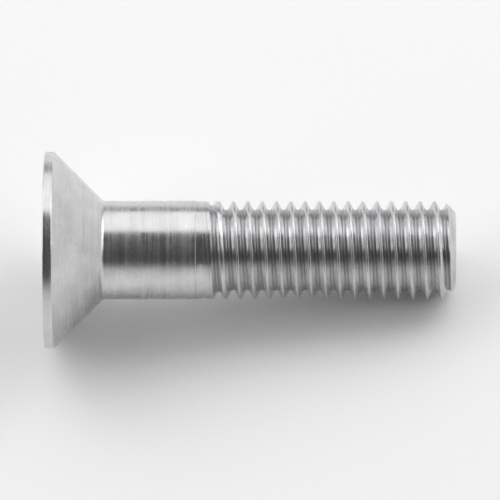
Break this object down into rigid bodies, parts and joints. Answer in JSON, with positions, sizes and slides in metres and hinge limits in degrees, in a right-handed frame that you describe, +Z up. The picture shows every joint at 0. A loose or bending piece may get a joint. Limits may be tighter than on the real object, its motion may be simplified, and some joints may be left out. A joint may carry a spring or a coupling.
{
  "type": "countersunk socket screw",
  "caption": "Countersunk screw with a hexagon socket in its flat head, a short plain shank and a metric thread with a chamfered point, lying on its side.",
  "frame": {"origin": "centre of the flat face of the head, on the screw's axis, at the mouth of the hexagon socket", "axes": "+X along the screw as it lies, from the head towards the point, +Z up. The screw's own axis dips 7.23 degrees below +X, because the screw rests on its head's rim and on the crest nearest its point."},
  "size_m": [0.0517, 0.024, 0.0239],
  "materials": {
    "steel": "bright stainless steel: turned head face, smooth shank, fine lines along the thread"
  },
  "bodies": {
    "root": {"screw": "steel"}
  },
  "joints": []
}
